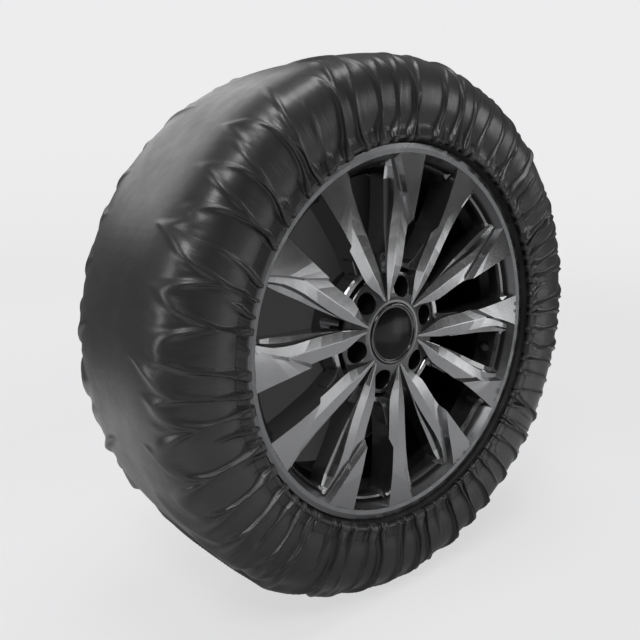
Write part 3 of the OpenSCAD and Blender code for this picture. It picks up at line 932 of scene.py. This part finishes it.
EDGE_A = [(50, 0.9), (54, 1.0), (70, 2.5), (102, 4.0), (140, 5.5), (186, 7.0), (260, 8.0)]
EDGE_B = [(50, 6.0), (64, 10.0), (80, 17.0), (100, 21.0), (140, 20.5), (186, 21.0), (260, 22.0)]
FOLD = [(50, 3.0), (70, 7.2), (102, 11.5), (140, 13.2), (197, 14.5), (256, 9.9)]
FACE_Z = [(50, 92), (54, 92), (100, 96), (150, 100), (200, 106), (256, 109)]
BACK_Z = [(50, 45.4), (96, 45.6), (104, 48), (150, 60), (200, 66), (260, 70)]
LEDGE_DROP = [(104, 0.2), (122, 1.6), (150, 5.0), (197, 9.0), (232, 8.5), (246, 3.0), (256, 0.6)]
LEDGE_WIDE = [(104, 0.2), (122, 0.7), (160, 1.7), (197, 2.4), (225, 1.9), (245, 0.8), (256, 0.3)]
LEDGE_RISE = [(104, 0.3), (160, 0.8), (230, 0.9), (256, 0.35)]
FOLD_LIFT = [(54, 0.4), (90, 1.6), (150, 1.4), (190, 0.3), (256, 0.0)]

# Rows along a spoke: the radius at the open side, at the fold and at the stud side, and how far
# the blade stands up there. Between the two rows in the middle lies the blade's slanted front.
SPOKE_ROWS = [
    (50, 52, 56, 0), (60, 60, 64, 0), (72, 72, 72, 0), (86, 86, 84, 0), (102, 102, 98, 0),
    (120, 120, 112, 0), (140, 142, 126, 0), (160, 170, 142, 0), (180, 196, 157, 0),
    (187, 203, 167, 10), (205, 214, 184, 10), (223, 227, 204, 10), (239, 240, 226, 10),
    (248, 249, 243, 10), (256.6, 256.6, 256.6, 10)]


def at(line, r):
    return float(np.interp(r, *zip(*line)))


def polar_point(r, angle, z):
    a = math.radians(angle)
    return (r * math.cos(a), r * math.sin(a), z)


class Solid:
    """Collects closed shells in one pair's own frame, in millimetres."""

    def __init__(self):
        self.verts, self.faces = [], []

    def add_loft(self, rows, flip=False):
        """A shell through equal closed sections, with its ends closed."""
        faces = tube_faces(len(self.verts), len(rows), len(rows[0]))
        self.faces += [face[::-1] for face in faces] if flip else faces
        for row in rows:
            self.verts += row

    def place(self, k):
        """Points in the model's frame for pair k, in metres."""
        turn = math.radians(FIRST_STUD + (k - 1.5) * PAIR_STEP)
        c, s = math.cos(turn), math.sin(turn)
        return [((x * c - y * s) / 1000, -z / 1000, (x * s + y * c) / 1000)
                for x, y, z in self.verts]


def spoke_row(ra, rf, rb, blade, side):
    """Closed section of one spoke, from its open side's back over the face to the stud side."""
    back_a, back_b = (SPOKE_BACK_END_R,) * 2 if ra > SPOKE_END_R else (ra, rb)
    a, b, fold = at(EDGE_A, ra), at(EDGE_B, rb), at(FOLD, rf)
    drop = at(LEDGE_DROP, ra)
    ledge = a + at(LEDGE_WIDE, ra)
    face = ledge + at(LEDGE_RISE, ra)
    za, zf, zb = at(FACE_Z, ra), at(FACE_Z, rf), at(FACE_Z, rb)
    lift = at(FOLD_LIFT, rf)
    steep = 0.9 if blade else 0.5
    section = [
        (back_a, a + 0.9, at(BACK_Z, ra)), (ra, a, za - drop - 0.7), (ra, ledge, za - drop),
        (ra, face, za), (rf, fold, zf + lift), (rf, fold + steep, zf + lift + blade),
        (rb, b, zb + blade), (rb, b + 0.05, zb + blade - 3.0), (back_b, b - 1.0, at(BACK_Z, rb))]
    return [polar_point(r, side * angle, z) for r, angle, z in section]


def web_rows():
    """The valley between the two spokes of a pair."""
    rows = []
    for r, valley in ((47, 86), (60, 84), (75, 79), (92, 73), (106, 68), (118, 63)):
        wide = at(EDGE_A, r) + 1.6
        high = valley + (7 if r > 50 else 5)
        rows.append([polar_point(r, share * wide, z) for share, z in (
            (-1, 46), (1, 46), (1, high), (0.35, valley + 1.2), (0, valley),
            (-0.35, valley + 1.2), (-1, high))])
    return rows


def bar_rows(side):
    """Half of the bar that joins this spoke to the next pair's, across the stud's middle line."""
    section = (96.5, 52), (96.5, 79), (98, 81), (104.5, 81), (106.5, 78.5), (106.5, 54)
    return [[polar_point(r, side * angle, z) for r, z in section]
            for angle in (18.5, 22, 26, STUD_SIDE)]


def spike_rows(side):
    """The thin fin that runs out from the bar, along the spoke's wall."""
    rows = []
    for r, out, low, high in ((102, 23.6, 58, 81.5), (108, 23.2, 60, 83), (113, 22.0, 62, 86),
                              (124, 21.4, 66, 90), (138, 20.9, 72, 94)):
        section = (19.5, low), (19.5, high), (out - 0.5, high), (out, high - 1.2), (out, low)
        rows.append([polar_point(r, side * a, z) for a, z in section])
    return rows


# The section of a window's outer end, as radius and height.
WINDOW_END = ((253, 70), (253, 108.6), (250.9, 107.8), (242.4, 99), (240.6, 94), (241.2, 70))
CORNER_CUT, CORNER_SPAN = 3.5, 1.8  # millimetres and degrees


def window_end_rows(start, stop, cuts, inset=0.0):
    """The chamfered outer end of a window, with its corners cut off at the sides in cuts."""
    rows = []
    for share in (0, 0.06, 0.12, 0.2, 0.3, 0.42, 0.5, 0.58, 0.7, 0.8, 0.88, 0.94, 1):
        near = min(abs(share - c) for c in cuts) * abs(stop - start)
        cut = CORNER_CUT * max(0.0, 1 - near / CORNER_SPAN)
        rows.append([polar_point(r if r > 252 else r - cut + inset, start + (stop - start) * share,
                                 z - inset if z > 100 else z) for r, z in WINDOW_END])
    return rows


# The hub's front, as radius and height.
HUB_TOP = [(41, 89), (45.7, 89), (45.71, 91.3), (46.6, 92), (52, 92), (60, 90.4), (70, 88.2),
           (80, 86), (88, 84.6), (90, 84.0), (91.2, 82.6), (92.2, 70), (98, 67)]


def add_hub_sixth(solid):
    """The hub's front between two studs' middles: cap seat, nut pockets and outer bar."""
    rows = [(r, 0.0) for r in (41, 45.7, 45.71, 46.6, 50)]
    for t in map(math.radians, range(0, 181, 9)):
        x, y = STUD_R - POCKET_R * math.cos(t), POCKET_R * math.sin(t)
        rows.append((math.hypot(x, y), math.degrees(math.atan2(y, x))))
    rows += [(r, 0.0) for r in (88, 90, 91.2, 92.2, 98)]
    rows.sort()
    columns = 21
    base = len(solid.verts)
    for r, cut in rows:
        limit = STUD_SIDE - cut
        lip = min(1.0, cut / 2.5)
        inner = limit - math.degrees(POCKET_LIP / r) * lip
        for k in range(columns):
            if k in (0, columns - 1):
                angle, down = limit, POCKET_LIP * lip
            else:
                angle, down = inner * abs(2 * (k - 1) / (columns - 3) - 1), 0.0
            side = 1 if 2 * k >= columns else -1
            solid.verts.append(polar_point(r, side * angle, at(HUB_TOP, r) - down))
    count = len(rows)
    solid.faces += (grid_faces(count, columns, closed=False) + base).tolist()
    under = len(solid.verts)
    for r, cut in rows:
        for side in (-1, 1):
            solid.verts.append(polar_point(r, side * (STUD_SIDE - cut), HUB_FLOOR))
    for i in range(count - 1):
        o, u = base + i * columns, under + 2 * i
        solid.faces.append((o, u, u + 2, o + columns))
        solid.faces.append((o + columns - 1, o + 2 * columns - 1, u + 3, u + 1))
        solid.faces.append((u, u + 1, u + 3, u + 2))
    for i, step in ((0, 1), (count - 1, -1)):
        o, u = base + i * columns, under + 2 * i
        solid.faces.append(tuple([*range(o, o + columns), u + 1, u][::step]))


def make_spoke_pair(k, materials):
    solid = Solid()
    for side in (1, -1):
        blade = [spoke_row(*row, side) for row in SPOKE_ROWS]
        for rows in (blade, spike_rows(side), bar_rows(side)):
            solid.add_loft(rows, flip=side < 0)
        solid.add_loft(window_end_rows(side * 21.2, side * 30.3, (0,), 0.15 if side < 0 else 0.0))
    solid.add_loft(window_end_rows(-8.6, 8.6, (0, 1)))
    solid.add_loft(web_rows())
    hub_start = len(solid.faces)
    add_hub_sixth(solid)
    pair = mesh_object(f"spokes_{k}", solid.place(k), solid.faces, materials["wheel_alloy"],
                       materials["shade"], smooth=False)
    face_outwards(pair)
    bevel = pair.modifiers.new("edges", "BEVEL")
    bevel.width = EDGE_BEVEL
    bevel.segments = 2
    bevel.limit_method = "ANGLE"
    bevel.angle_limit = math.radians(20)
    bevel.harden_normals = True
    # The hub's front faces take the darker paint, which is painted shade in its recess.
    for face in pair.data.polygons[hub_start:]:
        face.material_index = 1
    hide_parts(f"spoke_pair_{k}")
    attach(pair, "wheel")


# The cap's section from the middle of its face round to the back: radius and height.
CAP_FACE = ((0, 4.6), (8, 4.55), (16, 4.35), (24, 4.0), (31, 3.4), (36.5, 2.8), (39.2, 2.4),
            (40.1, 2.5), (40.7, 3.1), (41.3, 4.1), (42.1, 4.6), (43.3, 4.7), (44.4, 4.35),
            (45.05, 3.6), (45.3, 2.8), (45.3, 0.4), (44.9, 0.0), (30, 0.0), (0, 0.0))
CAP_RIM_IN = 39.2
FINGERS, FINGER_LENGTH = 8, 15.0
FINGER_IN, FINGER_OUT, FINGER_ROOT, SLOT_W = 36.6, 40.6, 2.0, 6.0


def make_cap(materials):
    """The snap-in cap: a rounded rim, a dished black face, and eight fingers behind it."""
    seat_y = CAP_BACK_Y * 1000 - FINGER_LENGTH
    sides = 120
    verts, faces = [], []

    def point(r, angle, h):
        verts.append((r * math.cos(angle) / 1000, (seat_y - h) / 1000, r * math.sin(angle) / 1000))

    def add_sector(start, stop, steps, low_h, high_h):
        faces.extend(tube_faces(len(verts), steps + 1, 4))
        section = ((FINGER_IN, low_h), (FINGER_OUT, low_h), (FINGER_OUT, high_h),
                   (FINGER_IN, high_h))
        for k in range(steps + 1):
            for r, h in section:
                point(r, start + (stop - start) * k / steps, h)

    rings = CAP_FACE[1:-1]
    point(0, 0, CAP_FACE[0][1])
    for r, h in rings:
        for k in range(sides):
            point(r, 2 * math.pi * k / sides, h)
    point(0, 0, CAP_FACE[-1][1])
    last = len(verts) - 1
    faces += tube_faces(1, len(rings), sides, ends=False)
    for k in range(sides):
        n = (k + 1) % sides
        faces += [(0, 1 + n, 1 + k), (last - sides + k, last - sides + n, last)]
    gap = SLOT_W / 2 / (FINGER_IN + 2)
    pitch = 2 * math.pi / FINGERS
    for k in range(FINGERS):
        turn = pitch * k
        add_sector(turn + gap, turn + pitch - gap, 12, -FINGER_LENGTH, 0.3)
        add_sector(turn - gap - 0.02, turn + gap + 0.02, 4, -FINGER_ROOT, 0.25)
    cap = mesh_object("snap_cap", verts, faces, materials["cap_plastic"], materials["cap_rim"])
    face_outwards(cap)
    cap.data.set_sharp_from_angle(angle=math.radians(50))
    for face in cap.data.polygons:
        if math.hypot(face.center.x, face.center.z) * 1000 > CAP_RIM_IN:
            face.material_index = 1
    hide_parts("centre_cap")
    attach(cap, "centre_cap")


# -------- the whole scene

bpy.context.scene.view_settings.view_transform = "Standard"
add_camera()
add_lights()
add_world()
add_stage()
add_painted_shade_card()
LOOKS = make_materials()
for entry in frame["record"]["subparts"]:
    cad = frame["nodes"][entry["node"]]
    cad.data.materials.clear()
    # The rim's inside and the hub disc take materials with painted shade.
    look = {"rim_barrel": "rim", "hub_disc": "shade"}.get(entry["node"], entry["material_slot"])
    cad.data.materials.append(LOOKS[look])

for number in range(1, 7):
    make_spoke_pair(number, LOOKS)

make_cap(LOOKS)

cloth, cloth_width, cloth_length = simulate_cloth()
cover = make_cover(cloth, LOOKS)
outer_hem = make_hem("outer_hem_roll", "outer_hem", cloth, 0, LOOKS)
inner_hem = make_hem("inner_hem_roll", "inner_hem", cloth, -1, LOOKS)
normals = grid_normals(cloth)
seam, seam_column = make_seam(cloth, normals, cloth_length, LOOKS)
grid_columns, grid_rows = cloth.shape[1:]
round_line = np.linspace(0, grid_columns, 2 * grid_columns + 1)
hem_row = HEM_STITCH_IN / cloth_width * (grid_rows - 1)
hem_stitches = make_stitches(
    "hem_stitches", cloth, normals,
    [(round_line, np.full(round_line.shape, row)) for row in (hem_row, grid_rows - 1 - hem_row)],
    HEM_PITCH, LOOKS)
across_line = np.linspace(1, grid_rows - 2, 2 * grid_rows)
seam_step = (SEAM_HALF_W - SEAM_STITCH_IN) / (cloth_length / grid_columns)
seam_stitches = make_stitches(
    "seam_stitches", cloth, normals,
    [(np.full(across_line.shape, seam_column + side * seam_step), across_line)
     for side in (-1, 1)], SEAM_PITCH, LOOKS, lift=SEAM_LIFT)
